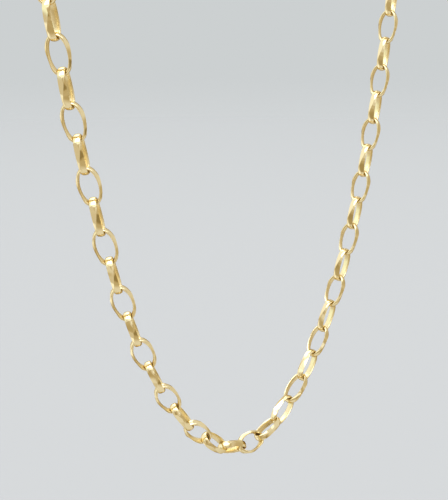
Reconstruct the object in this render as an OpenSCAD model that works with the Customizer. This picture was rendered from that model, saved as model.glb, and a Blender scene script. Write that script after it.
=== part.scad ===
// Necklace of oval belcher links, hanging as a whole loop from the crown of whatever holds it.
// The lower part hangs as a catenary and a round arc closes the loop over the top.
// The origin is under the middle of that arc. X runs across the loop, Y through it and Z up.

/* [Chain] */
// Number of links, an odd number, so that one link is the middle one
link_count = 141; // [81:2:201]
// Outer length of a link
link_l = 4.05; // [3.6:0.05:5]
// Outer width of a link
link_w = 2.4; // [2:0.05:3.2]
// Width of the wire, across the plane of its link
wire_w = 0.72; // [0.5:0.02:1]
// Thickness of the wire, in the plane of its link
wire_t = 0.3; // [0.2:0.01:0.45]
// Play between two links where one hangs in the other
link_gap = 0.25; // [0.2:0.01:0.3]

/* [Hang] */
// Radius of the hanging curve at its lowest point
curve_r = 10.5; // [8:0.5:20]
// Distance along the curve from its lowest point to the middle of the nearest link
mid_shift = 0.5; // [0:0.1:1.5]

/* [Clasp] */
// Outer diameter of the bolt ring
ring_d = 5.5; // [4.5:0.1:8]
// Diameter of the bolt ring's wire
ring_wire = 1; // [0.6:0.05:1.1]
// Outer diameter of the small eye
eye_d = 3; // [2.6:0.1:4]
// Diameter of the eye's wire
eye_wire = 0.6; // [0.4:0.05:0.8]
// How far the eye sinks into the bolt ring
eye_sink = 0.45; // [0.3:0.05:0.5]
// Play between the clasp and the link that hangs in it
clasp_gap = 0.15; // [0.12:0.01:0.3]

/* [Hidden] */

// Section of the wire, a D with its flat side inwards, as [share of the thickness, share of the half width]
FLAT_SHARE = 0.45;
D_SECTION = [[1, -FLAT_SHARE], [1, FLAT_SHARE], [0.45, 1], [0, 0], [0.45, -1]];

// Corners of the link's outline in one quarter of it, as shares of its half width and half length
QUARTER = [[1, 0], [0.86, 0.62], [0.56, 1]];

// Where the hanging chain leaves the true curve, in mm:
// [distance along the curve, to the right, to the back, up]
SWAY = [
    [-140, 0, 0, 0],
    [-90, -0.8, -1.2, 0.1],
    [-58, -1.1, -1.7, 0.2],
    [-42, -0.2, -1.1, 0],
    [-22, 0.3, -0.5, 0.1],
    [-8, 0.4, -0.6, 0.3],
    [0, 0.1, -0.2, -0.1],
    [8, 0.1, 0.6, 0.2],
    [18, 0.3, 1, -0.2],
    [42, -0.5, 0.2, -0.1],
    [58, -0.8, -0.2, 0],
    [90, -0.6, -0.2, 0],
    [140, 0, 0, 0]
];

// How the links lie, as the turn about the chain of every second link. The middle link and
// every second one from it are turned 90 degrees more.
// [distance along the curve, turn in degrees, 0 with the link flat in the loop]
TURN = [
    [-200, 90],
    [-58, 57],
    [-42, 47],
    [-28, 41],
    [-16, 32],
    [-8, 38],
    [0, 60],
    [8, 94],
    [16, 98],
    [28, 101],
    [41, 106],
    [58, 109],
    [200, 90]
];

// Half width of the smoothing of SWAY, length over which it fades out below the top arc,
// and step of the measured route
SMOOTH = 4;
FADE = 25;
STEP = 1;

// Sides of the clasp's rings and of their wire
RING_SIDES = 64;
WIRE_SIDES = 32;

pitch = link_l - 2 * wire_t - link_gap;
mid_link = (link_count - 1) / 2;
ring_r = (ring_d - ring_wire) / 2;
eye_r = (eye_d - eye_wire) / 2;
eye_x = ring_d / 2 + eye_d / 2 - eye_sink;
inner_l = link_l / 2 - wire_t;
ring_reach = ring_r + inner_l - ring_wire / 2 - clasp_gap;
eye_reach = eye_x + eye_r + inner_l - eye_wire / 2 - clasp_gap;
clasp_span = ring_reach + eye_reach;
loop_len = (link_count - 1) * pitch + clasp_span;

function asinh(x) = ln(x + sqrt(x * x + 1));
function unit(v) = v / norm(v);
function total(list) = list * [for (v = list) 1];

// Half the loop: along the catenary to the distance s, then the arc that is tangent to it there.
// strand_for finds the s that makes half the loop that long, halving its range at every step.
function lean(s) = atan(curve_r / s);
function arc_r(s) = curve_r * asinh(s / curve_r) / cos(lean(s));
function half_loop(s) = s + arc_r(s) * (90 + lean(s)) * PI / 180;
function strand_for(half, low, high, steps = 40) =
    let (s = (low + high) / 2)
    steps == 0 ? s :
    half_loop(s) > half ? strand_for(half, low, s, steps - 1) :
    strand_for(half, s, high, steps - 1);
plain_s = strand_for(loop_len / 2, curve_r, loop_len / 2);

// Points of the ideal route at the distance s from its lowest point, then with the sway added
function sway_at(s, column) =
    let (rows = [for (row = SWAY) [row[0], row[column]]])
    let (near = [for (d = [-SMOOTH:STEP:SMOOTH]) lookup(s + d, rows)])
    total(near) / len(near);
function hang(s) = [curve_r * asinh(s / curve_r), 0, sqrt(curve_r * curve_r + s * s) - curve_r];
function fade(s) = max(0, min(1, (plain_s - abs(s)) / FADE));
function sway(s) = fade(s) * [sway_at(s, 1), sway_at(s, 2), sway_at(s, 3)];

// Half the loop, less what the sway adds to the length of the chain
sway_route = [for (s = [-plain_s:STEP:plain_s]) hang(s) + sway(s)];
sway_len = total([for (i = [1:len(sway_route) - 1]) norm(sway_route[i] - sway_route[i - 1])]);
half_len = (loop_len - sway_len + (len(sway_route) - 1) * STEP) / 2;

strand_s = strand_for(half_len, curve_r, half_len);
top_r = arc_r(strand_s);
top_lean = lean(strand_s);
arc_z = hang(strand_s)[2] + top_r * sin(top_lean);
crown_z = arc_z + top_r - link_w / 2;

function arc_point(s) =
    let (angle = (s - strand_s) / top_r * 180 / PI - top_lean)
    [top_r * cos(angle), 0, arc_z + top_r * sin(angle)];
function route(s) =
    s > strand_s ? arc_point(s) :
    s < -strand_s ? [-arc_point(-s)[0], 0, arc_point(-s)[2]] :
    hang(s) + sway(s);

// Distance along the swayed chain against distance along the ideal one, from the lowest point
stations = [for (s = [-half_len:STEP:half_len]) s];
last_station = len(stations) - 1;
function step_len(i) = i > last_station ? 0 : norm(route(stations[i]) - route(stations[i - 1]));
run = [for (i = 0, sum = 0; i <= last_station; i = i + 1, sum = sum + step_len(i)) sum];
run_at_bottom = lookup(0, [for (i = [0:last_station]) [stations[i], run[i]]]);
run_table = [for (i = [0:last_station]) [run[i] - run_at_bottom, stations[i]]];

function station(along) = lookup(along, run_table);
function place(along) = route(station(along)) - [0, 0, crown_z];
function heading(along) = unit(place(along + pitch / 2) - place(along - pitch / 2));

// The link's outer outline as points [across, along], counter-clockwise, its quarter mirrored round.
// Its ends are flat where the wire of the next link lies.
quarter = [for (p = QUARTER) [p[0] * link_w / 2, p[1] * link_l / 2]];
outline = concat(
    quarter,
    [for (i = [len(quarter) - 1:-1:1]) [-quarter[i][0], quarter[i][1]]],
    [for (p = quarter) -p],
    [for (i = [len(quarter) - 1:-1:1]) [quarter[i][0], -quarter[i][1]]]
);
sides = len(outline);
function edge_normal(i) =
    let (d = outline[(i + 1) % sides] - outline[i % sides])
    unit([d[1], -d[0]]);
function corner(i) =
    let (a = edge_normal(i + sides - 1), b = edge_normal(i))
    (a + b) / (1 + a * b);

// One link's points about its own middle, as [across, along, through its plane]
link_points = [
    for (i = [0:sides - 1])
    for (point = D_SECTION)
    let (p = outline[i] - corner(i) * point[0] * wire_t)
    [p[0], p[1], point[1] * wire_w / 2]
];
rim = len(D_SECTION);
link_faces = [
    for (i = [0:sides - 1])
    for (j = [0:rim - 1])
    let (next = (i + 1) % sides, up = (j + 1) % rim)
    [i * rim + j, i * rim + up, next * rim + up, next * rim + j]
];

// Points of link k where it hangs
function placed_link(k) =
    let (
        along = mid_shift + (k - mid_link) * pitch,
        t = heading(along),
        face = unit([0, -1, 0] + t * t[1]),
        turn = lookup(station(along), TURN) + (k % 2 == mid_link % 2 ? 90 : 0),
        through = face * cos(turn) + cross(t, face) * sin(turn),
        across = cross(through, t),
        middle = place(along)
    )
    [for (p = link_points) middle + p[0] * across + p[1] * t + p[2] * through];

module links(first, last) {
    points = [for (k = [first:last]) for (p = placed_link(k)) p];
    faces = [
        for (k = [0:last - first])
        for (f = link_faces) [for (i = f) i + k * len(link_points)]
    ];
    polyhedron(points = points, faces = faces, convexity = 10);
}

module chain_left() {
    color("gold") links(0, mid_link - 1);
}

module chain_right() {
    color("gold") links(mid_link, link_count - 1);
}

module ring(middle_r, wire_d) {
    rotate_extrude($fn = RING_SIDES)
    translate([middle_r, 0])
    circle(d = wire_d, $fn = WIRE_SIDES);
}

// The clasp lies flat at the top, straight between the places where its two hooks hold the end
// links: the bolt ring in the last link and the eye in the first.
module clasp() {
    ring_hook = place(mid_shift + mid_link * pitch + ring_reach - ring_r);
    eye_hook = place(mid_shift - mid_link * pitch - eye_reach + eye_x + eye_r);
    slope = ring_hook - eye_hook;
    color("gold")
    translate((ring_hook + eye_hook) / 2)
    rotate([0, -atan(slope[2] / slope[0]), 0])
    translate([(eye_x + eye_r - ring_r) / 2, 0, 0]) {
        ring(ring_r, ring_wire);
        translate([-eye_x, 0, 0])
        ring(eye_r, eye_wire);
    }
}

chain_left();
chain_right();
clasp();
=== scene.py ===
"""Looks of an oval belcher necklace: polished gold links with bright-cut sides, in soft studio light.

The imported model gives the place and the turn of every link. Here each link becomes a smooth oval
of D-shaped wire with two facets cut on each long side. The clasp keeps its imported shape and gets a
finish. All lengths are in metres, angles in degrees.
"""

import bpy
import numpy as np
from mathutils import Matrix


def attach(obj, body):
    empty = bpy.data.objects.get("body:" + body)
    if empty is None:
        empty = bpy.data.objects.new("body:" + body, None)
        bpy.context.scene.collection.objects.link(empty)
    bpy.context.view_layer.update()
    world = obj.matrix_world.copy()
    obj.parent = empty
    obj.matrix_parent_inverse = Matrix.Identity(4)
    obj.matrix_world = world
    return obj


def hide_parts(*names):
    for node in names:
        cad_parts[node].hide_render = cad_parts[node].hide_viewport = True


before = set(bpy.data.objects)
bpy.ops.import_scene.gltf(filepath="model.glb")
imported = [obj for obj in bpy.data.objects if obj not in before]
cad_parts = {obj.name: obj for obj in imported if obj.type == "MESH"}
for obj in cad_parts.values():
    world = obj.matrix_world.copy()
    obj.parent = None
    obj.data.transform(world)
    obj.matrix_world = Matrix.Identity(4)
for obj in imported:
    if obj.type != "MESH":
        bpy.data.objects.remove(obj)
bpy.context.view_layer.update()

MM = 0.001

# A link: its outline is a superellipse, its wire a D with the flat side inwards and soft edges
LINK_LENGTH = 4.02 * MM
LINK_WIDTH = 2.41 * MM
SQUARENESS = 2.1
WIRE_WIDTH = 0.74 * MM
WIRE_THICKNESS = 0.32 * MM
DOME_HEIGHT = 0.16 * MM

# The two facets cut on each long side: their slope, how deep the ridge between them lies in the
# side, how much they drop towards their ends, for each metre squared, and how far the ridge leans
# over, for each metre along the link. The sign of the lean is the hand of its S.
FACET_SLOPE = 27
FACET_DEPTH = 0.04 * MM
FACET_CROWN = 105
RIDGE_LEAN = -0.28

# Grid of one link: columns on the facet and beyond it in a quarter of the outline, the turn about
# the wire of each row of its domed outer half and of its flatter inner half, and the number of
# places on the outline where a facet's end is looked for
FACET_COLUMNS = 3
END_COLUMNS = 9
DOME_TURNS = [0, 24, 47, 69, 90]
INNER_TURNS = [25, 50, 75, 90]
INNER_SQUARENESS = 4
OUTLINE_STEPS = 4001

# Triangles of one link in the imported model
LINK_TRIANGLES = 100

# Camera: where it looks from, the point in the loop's plane that it turns about, and its distance
CAMERA_AZIMUTH = -44.6
CAMERA_ELEVATION = 11.9
CAMERA_ROLL = 0.3
CAMERA_DISTANCE = 124.9 * MM
CAMERA_TARGET = (-3.47 * MM, 0, -172.64 * MM)
CAMERA_LENS = 84.6
CAMERA_SHIFT = (0.0025, -0.0212)
CAMERA_NEAR = 10 * MM


def unit(v):
    """v divided by its own length."""
    return v / np.linalg.norm(v, axis=-1, keepdims=True)


def node_points(name):
    """Corners of a CAD node's triangles in their order, as an array (triangles, 3, 3)."""
    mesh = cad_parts[name].data
    places = np.empty(len(mesh.vertices) * 3, np.float32)
    mesh.vertices.foreach_get("co", places)
    corners = np.empty(len(mesh.loops), np.int32)
    mesh.loops.foreach_get("vertex_index", corners)
    return places.reshape(-1, 3)[corners].reshape(-1, 3, 3).astype(float)


def link_frames(name):
    """Middle and axes of each link of a chain node: the axes are rows across, along and through it.

    A link is the longest one way and the thinnest through its plane, so its axes are the
    directions in which its corners spread most, less and least about their middle.
    """
    links = node_points(name).reshape(-1, LINK_TRIANGLES * 3, 3)
    middles = []
    axes = []
    for corners in links:
        corners = np.unique(corners.round(8), axis=0)
        middle = corners.mean(axis=0)
        spread = np.linalg.eigh(np.cov((corners - middle).T))[1].T
        middles.append(middle)
        axes.append([spread[1], spread[2], spread[0]])
    middles = np.array(middles)
    axes = np.array(axes)
    travel = np.gradient(middles, axis=0)
    axes[:, 1] *= np.sign((axes[:, 1] * travel).sum(-1))[:, None]
    axes[:, 2] *= np.where(axes[:, 2, 1] > 0, -1, 1)[:, None]
    axes[:, 0] = np.cross(axes[:, 1], axes[:, 2])
    return middles, axes


def outline(angle, depth):
    """Point of a link's first quarter at an angle, moved inwards by depth along the outline's normal.

    The outline is |x/a|^n + |y/b|^n = 1, walked as x = a cos(q)^(2/n), y = b sin(q)^(2/n).
    """
    a = LINK_WIDTH / 2
    b = LINK_LENGTH / 2
    power = 2 / SQUARENESS
    c = np.cos(angle).clip(0)
    s = np.sin(angle).clip(0)
    x = a * c**power
    y = b * s**power
    nx = (x / a) ** (SQUARENESS - 1) / a
    ny = (y / b) ** (SQUARENESS - 1) / b
    length = np.hypot(nx, ny)
    return x - depth * nx / length, y - depth * ny / length


def wire_section(row, ridge):
    """One row of the wire's section where its ridge has this height off the wire's middle.

    Rows go from the ridge on the outer face round to the middle of the inner face. Gives the depth
    below the outline, the height z, and the outward normal along the outline's normal and along z.
    The outer half is a quarter of an ellipse, depth = dome (1 - cos(t)) and z = half sin(t), and
    the inner half a quarter of a superellipse.
    """
    half = WIRE_WIDTH / 2
    if row < len(DOME_TURNS):
        start = np.arcsin(ridge / half)
        turn = start + (np.pi / 2 - start) * DOME_TURNS[row] / 90
        depth = DOME_HEIGHT * (1 - np.cos(turn))
        z = half * np.sin(turn)
        outwards = half * np.cos(turn)
        through = DOME_HEIGHT * np.sin(turn)
    else:
        turn = np.radians(np.full_like(ridge, INNER_TURNS[row - len(DOME_TURNS)]))
        inner = WIRE_THICKNESS - DOME_HEIGHT
        down = np.sin(turn) ** (2 / INNER_SQUARENESS)
        up = np.cos(turn).clip(0) ** (2 / INNER_SQUARENESS)
        depth = DOME_HEIGHT + inner * down
        z = half * up
        outwards = -(down ** (INNER_SQUARENESS - 1)) * half
        through = up ** (INNER_SQUARENESS - 1) * inner
    length = np.hypot(outwards, through)
    return depth, z, outwards / length, through / length


def side_row(row, angle, lean):
    """One row of a quarter of the link at angles of its outline, and the facet over it.

    The ridge is an S along the side: its height is lean y (1 - (y/b)^2). The facet falls from it by
    the same drop to the wire's edge and is crowned: x = cut - drop (z - ridge) / (half - ridge)
    - crown y^2. Gives the points and normals of the round wire, and the facet's x and normals.
    """
    half = WIRE_WIDTH / 2
    outer_x, outer_y = outline(angle, 0)
    inner_x, inner_y = outline(angle, WIRE_THICKNESS)
    reach = outer_y / (LINK_LENGTH / 2)
    ridge = lean * LINK_LENGTH / 2 * (reach - reach**3)
    bend = lean * (1 - 3 * reach**2)
    depth, z, outwards, through = wire_section(row, ridge)
    x, y = outline(angle, depth)
    points = np.stack([x, y, z], axis=1)
    wall = unit(np.stack([outer_x - inner_x, outer_y - inner_y], axis=1))
    round_wire = np.stack([wall[:, 0] * outwards, wall[:, 1] * outwards, through], axis=1)
    drop = half * np.tan(np.radians(FACET_SLOPE))
    facet_x = LINK_WIDTH / 2 - FACET_DEPTH - FACET_CROWN * y**2
    facet_x = facet_x - drop * (z - ridge) / (half - ridge)
    along = 2 * FACET_CROWN * y - drop * bend * (half - z) / (half - ridge) ** 2
    facet = unit(np.stack([np.ones_like(x), along, drop / (half - ridge)], axis=1))
    return points, round_wire, facet_x, facet


def quarter_link(lean):
    """A quarter of one link's outer half, as grids (rows, columns, 3) across, along and through it.

    Gives its points, the normals of the round wire, and the normals of the facet. Each row follows
    the outline at its own depth. It is cut where it passes the facet, and a fixed number of columns
    lies on the facet, so that the facet's edge is a line of the grid.
    """
    angles = np.linspace(0, np.pi / 2, OUTLINE_STEPS)
    facet_share = np.linspace(0, 1, FACET_COLUMNS + 1)
    end_share = np.linspace(0, 1, END_COLUMNS + 1)[1:]
    edge = 0
    grids = []
    for row in range(len(DOME_TURNS) + len(INNER_TURNS)):
        points, _, facet_x, _ = side_row(row, angles, lean)
        over = np.flatnonzero(points[:, 0] > facet_x)
        edge = angles[over[-1]] if len(over) else edge
        walk = np.concatenate([edge * facet_share, edge + (np.pi / 2 - edge) * end_share])
        points, round_wire, facet_x, facet = side_row(row, walk, lean)
        points[:, 0] = np.minimum(points[:, 0], facet_x)
        grids.append([points, round_wire, facet])
    return np.array(grids).swapaxes(0, 1)


def half_ring(right, left):
    """All round the outline on one side of the link's plane, from two quarters of opposite lean."""
    near = np.concatenate([right, (left * [-1, 1, 1])[:, :, -2::-1]], axis=2)
    far = np.concatenate([left, (right * [-1, 1, 1])[:, :, -2::-1]], axis=2)
    return np.concatenate([near, (far * [1, -1, 1])[:, :, -2:0:-1]], axis=2)


def whole_link():
    """The link's whole grids, closed both ways: two quarters mirrored across, along and through it.

    Gives the points, and for every cell its four corners' normals. Cells on the facets take the
    facet's normals and the others those of the round wire, so the facets' edges are sharp.
    """
    quarters = [quarter_link(RIDGE_LEAN), quarter_link(-RIDGE_LEAN)]
    upper_half = half_ring(*quarters)
    lower_half = half_ring(*reversed(quarters)) * [1, 1, -1]
    points, round_wire, _ = np.concatenate([upper_half, lower_half[:, -2:0:-1]], axis=1)
    above = np.concatenate([upper_half[2], upper_half[2, -2:0:-1]])
    below = np.concatenate([lower_half[2], lower_half[2, -2:0:-1]])
    rows, columns = points.shape[:2]
    cell_row = np.arange(rows)[:, None, None]
    cell_column = np.arange(columns)[None, :, None]
    row = (cell_row + [0, 0, 1, 1]) % rows
    column = (cell_column + [0, 1, 1, 0]) % columns
    upper = cell_row < rows // 2
    last = len(DOME_TURNS) - 1
    on_dome = (cell_row < last) | (cell_row >= rows - last)
    half_turn = columns // 2
    on_side = (cell_column + FACET_COLUMNS) % half_turn < 2 * FACET_COLUMNS
    on_facet = (on_dome & on_side)[..., None]
    flat = np.where(upper[..., None], above[row, column], below[row, column])
    return points, np.where(on_facet, flat, round_wire[row, column])


def chain_piece(name, node):
    """One joined mesh of all links of a chain node: the link's grid laid on every link's frame."""
    grid, normals = whole_link()
    rows, columns = grid.shape[:2]
    middles, axes = link_frames(node)
    points = middles[:, None, None] + np.einsum("rcj,njk->nrck", grid, axes)
    normals = np.einsum("rcfj,njk->nrcfk", normals, axes)
    numbers = np.arange(len(middles) * rows * columns).reshape(-1, rows, columns)
    down = np.roll(numbers, -1, axis=1)
    faces = np.stack(
        [numbers, np.roll(numbers, -1, axis=2), np.roll(down, -1, axis=2), down], axis=-1
    )
    mesh = bpy.data.meshes.new(name)
    mesh.from_pydata(points.reshape(-1, 3), [], faces.reshape(-1, 4))

    # The pattern runs round the outline in U and round the wire in V, one whole turn each
    u = np.arange(columns + 1) / columns
    v = np.arange(rows + 1) / rows
    cell_u = np.stack([u[:-1], u[1:], u[1:], u[:-1]], axis=-1)[None, None].repeat(rows, axis=1)
    cell_v = np.stack([v[:-1], v[:-1], v[1:], v[1:]], axis=-1)[None, :, None]
    corner_u, corner_v = np.broadcast_arrays(cell_u, cell_v)
    pattern = np.stack([corner_u, corner_v], axis=-1)
    pattern = np.broadcast_to(pattern, (len(middles), rows, columns, 4, 2))
    mesh.uv_layers.new(name="round_the_link").uv.foreach_set("vector", pattern.ravel())

    mesh.update()
    mesh.shade_smooth()
    mesh.normals_split_custom_set(normals.reshape(-1, 3))
    piece = bpy.data.objects.new(name, mesh)
    bpy.context.scene.collection.objects.link(piece)
    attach(piece, "root")
    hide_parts(node)
    return piece


class Value:
    """A socket on its way through a node tree. Arithmetic on it adds Math nodes."""

    def __init__(self, maker, socket):
        self.maker = maker
        self.socket = socket

    def math(self, operation, *others):
        return self.maker.node("Math", {"operation": operation}, [self, *others])

    def __add__(self, other):
        return self.math("ADD", other)

    def __sub__(self, other):
        return self.math("SUBTRACT", other)

    def __mul__(self, other):
        return self.math("MULTIPLY", other)

    def __rsub__(self, other):
        return self.maker.node("Math", {"operation": "SUBTRACT"}, [other, self])

    __radd__ = __add__
    __rmul__ = __mul__


class Finish:
    """Builds one node tree, a material's or the world's."""

    def __init__(self, owner):
        owner.use_nodes = True
        self.tree = owner.node_tree
        self.tree.nodes.clear()

    def node(self, kind, settings=None, inputs=(), output=0):
        """Adds a node of a kind with its settings, sets or links its inputs, and gives one output.

        Inputs are a list in the sockets' order, where None leaves one as it is, or a dict by name.
        """
        node = self.tree.nodes.new("ShaderNode" + kind)
        for key, value in (settings or {}).items():
            setattr(node, key, value)
        pairs = inputs.items() if isinstance(inputs, dict) else enumerate(inputs)
        for key, value in pairs:
            if isinstance(value, Value):
                self.tree.links.new(value.socket, node.inputs[key])
            elif value is not None:
                node.inputs[key].default_value = value
        return Value(self, node.outputs[output])

    def blend(self, share, low, high):
        """A colour that goes from low to high with share."""
        return self.node("Mix", {"data_type": "RGBA"}, {0: share, 6: low, 7: high}, output=2)

    def split(self, vector):
        """The three parts of a vector."""
        node = self.tree.nodes.new("ShaderNodeSeparateXYZ")
        self.tree.links.new(vector.socket, node.inputs[0])
        return [Value(self, socket) for socket in node.outputs]

    def ramp(self, value, place, soft):
        """0 well below a place and 1 well above it, with a soft edge."""
        return self.node(
            "MapRange", {"interpolation_type": "SMOOTHSTEP"}, [value, place - soft, place + soft]
        )

    def noise(self, place, scale, detail):
        """Soft noise about 0.5 at a place, scale lumps to the metre."""
        return self.node("TexNoise", None, {"Vector": place, "Scale": scale, "Detail": detail})

    def end(self, shader, kind="OutputMaterial"):
        """Gives the tree its output."""
        output = self.tree.nodes.new("ShaderNode" + kind)
        self.tree.links.new(shader.socket, output.inputs[0])


def rgb(red, green, blue):
    """A linear colour as a node takes it."""
    return (red, green, blue, 1)


# The gold, its deeper patches (also a faint painted shade on the inner face), its worn edges, the
# brown painted shade of the crevices where links cross, and its grazing tint
GOLD = rgb(0.93, 0.81, 0.5)
DEEP_GOLD = rgb(0.92, 0.765, 0.43)
PALE_GOLD = rgb(0.95, 0.865, 0.61)
# Painted brown shade for the crevices where links cross
CREVICE_SHADE_BROWN = rgb(0.68, 0.52, 0.24)
RIM_GOLD = rgb(0.55, 0.42, 0.22)

# Where the finish changes, as places of ramps: across the wire, 0 in the middle of its outer face
# and 0.5 in the middle of its inner face, and along the link, 0 at a side and 0.25 at an end
WIRE_EDGE = 0.25
INNER_FACE = 0.32
RUBBED_END = 0.21
EDGE_WEAR = 0.02

# Crevices: how far away metal still makes one, and how closed in where painted brown shade sets in
CREVICE_REACH = 0.5 * MM
CREVICE = 0.5

# Dents and polishing marks: strength and height
DENT_STRENGTH = 0.6
LINK_DENTS = 0.012 * MM
CLASP_DENTS = 0.02 * MM
MARK_STRENGTH = 0.3
MARKS = 0.001 * MM


def worked_surface(maker, wavy, dent_height, grain):
    """Normal of a surface with soft dents and fine polishing marks."""
    dents = maker.node(
        "Bump", None, {"Strength": DENT_STRENGTH, "Distance": dent_height, "Height": wavy}
    )
    return maker.node(
        "Bump",
        None,
        {"Strength": MARK_STRENGTH, "Distance": MARKS, "Height": grain, "Normal": dents},
    )


def links_material():
    """Polished gold: bright-cut outside, softer inside the links, paler along worn edges.

    The ends are rubbed bright inside, where the next link hangs. The crossings get a brown painted
    shade, and the inner face a faint one.
    """
    material = bpy.data.materials.new("links_gold")
    maker = Finish(material)
    place = maker.node("TexCoord", output=3)
    pattern = maker.node("UVMap", {"uv_map": "round_the_link"})
    round_link, round_wire, _ = maker.split(pattern)
    across = round_wire.math("PINGPONG", 0.5)
    along = round_link.math("PINGPONG", 0.25)
    inside = maker.ramp(across, INNER_FACE, 0.05)
    rubbed = inside * maker.ramp(along, RUBBED_END, 0.03)
    edge = 1 - maker.ramp((across - WIRE_EDGE).math("ABSOLUTE"), EDGE_WEAR, 0.02)
    cloudy = maker.noise(place, 450, 2)
    grain = maker.noise(place, 6000, 3)
    wavy = maker.noise(place, 1500, 1)
    # Random deeper patches, and a faint painted shade on the link's inner face
    patches_and_inner_shade = maker.blend(cloudy * 0.5 + inside * 0.15, GOLD, DEEP_GOLD)
    worn = maker.blend(edge * grain * 0.9, patches_and_inner_shade, PALE_GOLD)
    # Painted shade: ambient occlusion finds the crevices where links cross, and there the colour
    # turns brown and the surface rougher
    closed_in = 1 - maker.node(
        "AmbientOcclusion", {"samples": 8}, {"Distance": CREVICE_REACH}, output=1
    )
    painted_crevice_shade = maker.ramp(closed_in, CREVICE, 0.25)
    roughness = 0.05 + 0.06 * grain + 0.05 * edge + 0.2 * inside - 0.12 * rubbed + 0.3 * painted_crevice_shade
    shader = maker.node(
        "BsdfPrincipled",
        None,
        {
            "Base Color": maker.blend(painted_crevice_shade, worn, CREVICE_SHADE_BROWN),
            "Metallic": 1.0,
            "Roughness": roughness,
            "Specular Tint": RIM_GOLD,
            "Normal": worked_surface(maker, wavy, LINK_DENTS, grain),
        },
    )
    maker.end(shader)
    return material


def clasp_material():
    """Plain polished gold of the clasp, with faint dents, polishing marks and deeper patches."""
    material = bpy.data.materials.new("clasp_gold")
    maker = Finish(material)
    place = maker.node("TexCoord", output=3)
    cloudy = maker.noise(place, 350, 2)
    grain = maker.noise(place, 5000, 3)
    wavy = maker.noise(place, 900, 1)
    shader = maker.node(
        "BsdfPrincipled",
        None,
        {
            "Base Color": maker.blend(cloudy * 0.6, GOLD, DEEP_GOLD),
            "Metallic": 1.0,
            "Roughness": 0.07 + 0.09 * grain,
            "Normal": worked_surface(maker, wavy, CLASP_DENTS, grain),
        },
    )
    maker.end(shader)
    return material


links_gold = links_material()
left = chain_piece("left_links", "chain_left")
right = chain_piece("right_links", "chain_right")
for piece in (left, right):
    piece.data.materials.append(links_gold)
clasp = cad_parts["clasp"]
clasp.data.materials.clear()
clasp.data.materials.append(clasp_material())


def add_camera():
    """The camera looks at its target from an azimuth and elevation, turned by a small roll."""
    azimuth, elevation, roll = np.radians([CAMERA_AZIMUTH, CAMERA_ELEVATION, CAMERA_ROLL])
    back = np.array(
        [
            np.sin(azimuth) * np.cos(elevation),
            -np.cos(azimuth) * np.cos(elevation),
            np.sin(elevation),
        ]
    )
    right_hand = np.array([np.cos(azimuth), np.sin(azimuth), 0])
    up = np.cross(back, right_hand)
    x_axis = np.cos(roll) * right_hand - np.sin(roll) * up
    y_axis = np.sin(roll) * right_hand + np.cos(roll) * up
    eye = np.array(CAMERA_TARGET) + CAMERA_DISTANCE * back
    data = bpy.data.cameras.new("camera")
    data.lens = CAMERA_LENS
    data.shift_x, data.shift_y = CAMERA_SHIFT
    data.clip_start = CAMERA_NEAR
    camera = bpy.data.objects.new("camera", data)
    placed = np.eye(4)
    placed[:3] = np.stack([x_axis, y_axis, back, eye], axis=1)
    camera.matrix_world = Matrix(placed)
    bpy.context.scene.collection.objects.link(camera)
    bpy.context.scene.camera = camera


add_camera()

# The studio: how bright the light is by azimuth and elevation, a row for each soft box or dark
# card. A later row covers the earlier ones. The first reach round the back, past 180 degrees.
# [azimuth from, to, elevation from, to, soft edge, brightness]
STUDIO = [
    [128, 400, 24, 75, 6, 2.3],
    [-400, -165, 24, 75, 8, 1.5],
    [-400, -130, -30, 75, 10, 1.1],
    [150, 400, -14, 24, 8, 1.05],
    [-128, -97, -4, 62, 4, 1.12],
    [-100, 8, 29, 85, 3, 3.6],
    [-85, 4, 28, 43, 4, 1.15],
    [-10, 46, 38, 54, 4, 1.5],
    [-80, -56, -30, 12, 5, 0.45],
    [-96, -12, -46, -28, 5, 0.45],
    [-70, -54, -22, 6, 4, 0.36],
    [-56, -46, -30, 24, 4, 0.47],
    [-46, -34, -30, 27, 4, 0.55],
    [-34, -12, -14, 27, 4, 0.75],
    [-34, -12, -30, -14, 4, 0.45],
    [-136, -88, -75, -4, 5, 0.66],
    [-168, -122, -56, -33, 5, 1.2],
    [-14, 34, -48, 30, 5, 0.5],
    [-16, 16, 4, 24, 4, 1],
    [0, 40, -36, -8, 4, 0.27],
    [36, 66, -28, 10, 6, 0.52],
    [72, 98, -34, -2, 4, 0.6],
    [114, 152, -50, 6, 6, 0.6],
]

# Brightness where no card is, and the tints of the dark and of the bright parts with the
# brightness where one goes over into the other and its soft edge
STUDIO_BELOW = 0.8
SHADE_TINT = rgb(1.13, 0.87, 0.43)
LIGHT_TINT = rgb(1, 1, 1)
SHADE_LEVEL = 0.6
SHADE_SOFT = 0.35

# Where daylight comes in, a little greener, and its tint
DAYLIGHT = [-132, -95, -4, 60, 5]
DAYLIGHT_TINT = rgb(0.95, 1.04, 0.97)

# What the camera sees behind everything
BACKDROP = rgb(0.604, 0.631, 0.637)


def on_card(maker, azimuth, elevation, card):
    """1 on a soft box or dark card and 0 beyond it, with soft edges."""
    left_side, right_side, low, high, soft = card
    return (
        maker.ramp(azimuth, left_side, soft)
        * (1 - maker.ramp(azimuth, right_side, soft))
        * maker.ramp(elevation, low, soft)
        * (1 - maker.ramp(elevation, high, soft))
    )


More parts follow.
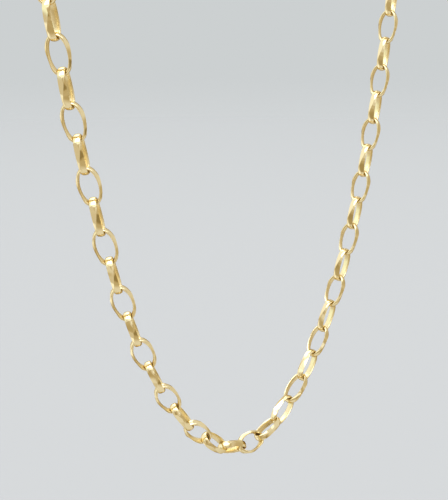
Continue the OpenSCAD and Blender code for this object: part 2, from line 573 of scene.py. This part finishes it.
def add_studio():
    """Soft light from all round, by direction, and a plain pale backdrop for the camera."""
    world = bpy.data.worlds.new("studio")
    bpy.context.scene.world = world
    maker = Finish(world)
    direction = maker.node("TexCoord")
    x, y, z = maker.split(direction)
    to_degrees = 180 / np.pi
    azimuth = x.math("ARCTAN2", 0 - y) * to_degrees
    elevation = z.math("ARCSINE") * to_degrees
    light = STUDIO_BELOW
    for *card, level in STUDIO:
        light = light + on_card(maker, azimuth, elevation, card) * (level - light)
    tint = maker.blend(maker.ramp(light, SHADE_LEVEL, SHADE_SOFT), SHADE_TINT, LIGHT_TINT)
    tint = maker.blend(on_card(maker, azimuth, elevation, DAYLIGHT), tint, DAYLIGHT_TINT)
    tinted = maker.node("VectorMath", {"operation": "SCALE"}, {0: tint, 3: light})
    seen = maker.node("LightPath")
    colour = maker.blend(seen, tinted, BACKDROP)
    maker.end(maker.node("Background", None, [colour, 1.0]), "OutputWorld")


# The floor: how far it lies below the origin, the radii of its rings, the sides of a ring, and where
# it fades out
FLOOR_DROP = 0.26
FLOOR_RINGS = [0.05, 0.3, 0.8, 1.5, 2.5]
FLOOR_SIDES = 96
FLOOR_FADE = 0.9
FLOOR_FADE_SOFT = 0.7
FLOOR_COLOUR = rgb(0.45, 0.463, 0.48)


def add_floor():
    """A round pale floor below the necklace, which fades into the backdrop at its rim."""
    turn = np.linspace(0, 2 * np.pi, FLOOR_SIDES + 1)[:-1]
    radius = np.array(FLOOR_RINGS)[:, None]
    x = radius * np.cos(turn)
    y = radius * np.sin(turn)
    rings = np.stack([x, y, np.full_like(x, -FLOOR_DROP)], axis=-1)
    numbers = np.arange(rings[..., 0].size).reshape(rings.shape[:2])
    nearer, farther = numbers[:-1], numbers[1:]
    faces = np.stack(
        [nearer, farther, np.roll(farther, -1, axis=1), np.roll(nearer, -1, axis=1)], axis=-1
    )
    mesh = bpy.data.meshes.new("floor")
    mesh.from_pydata(rings.reshape(-1, 3), [], [*faces.reshape(-1, 4), numbers[0]])
    floor = bpy.data.objects.new("floor", mesh)
    bpy.context.scene.collection.objects.link(floor)
    floor.visible_glossy = False
    material = bpy.data.materials.new("floor_paper")
    mesh.materials.append(material)
    maker = Finish(material)
    place = maker.node("TexCoord", output=3)
    far = maker.node("VectorMath", {"operation": "LENGTH"}, [place], output=1)
    paper = maker.node("BsdfDiffuse", None, [FLOOR_COLOUR])
    fade = maker.ramp(far, FLOOR_FADE, FLOOR_FADE_SOFT)
    clear = maker.node("BsdfTransparent")
    maker.end(maker.node("MixShader", None, [fade, paper, clear]))


add_studio()
add_floor()
bpy.context.scene.view_settings.view_transform = "Standard"
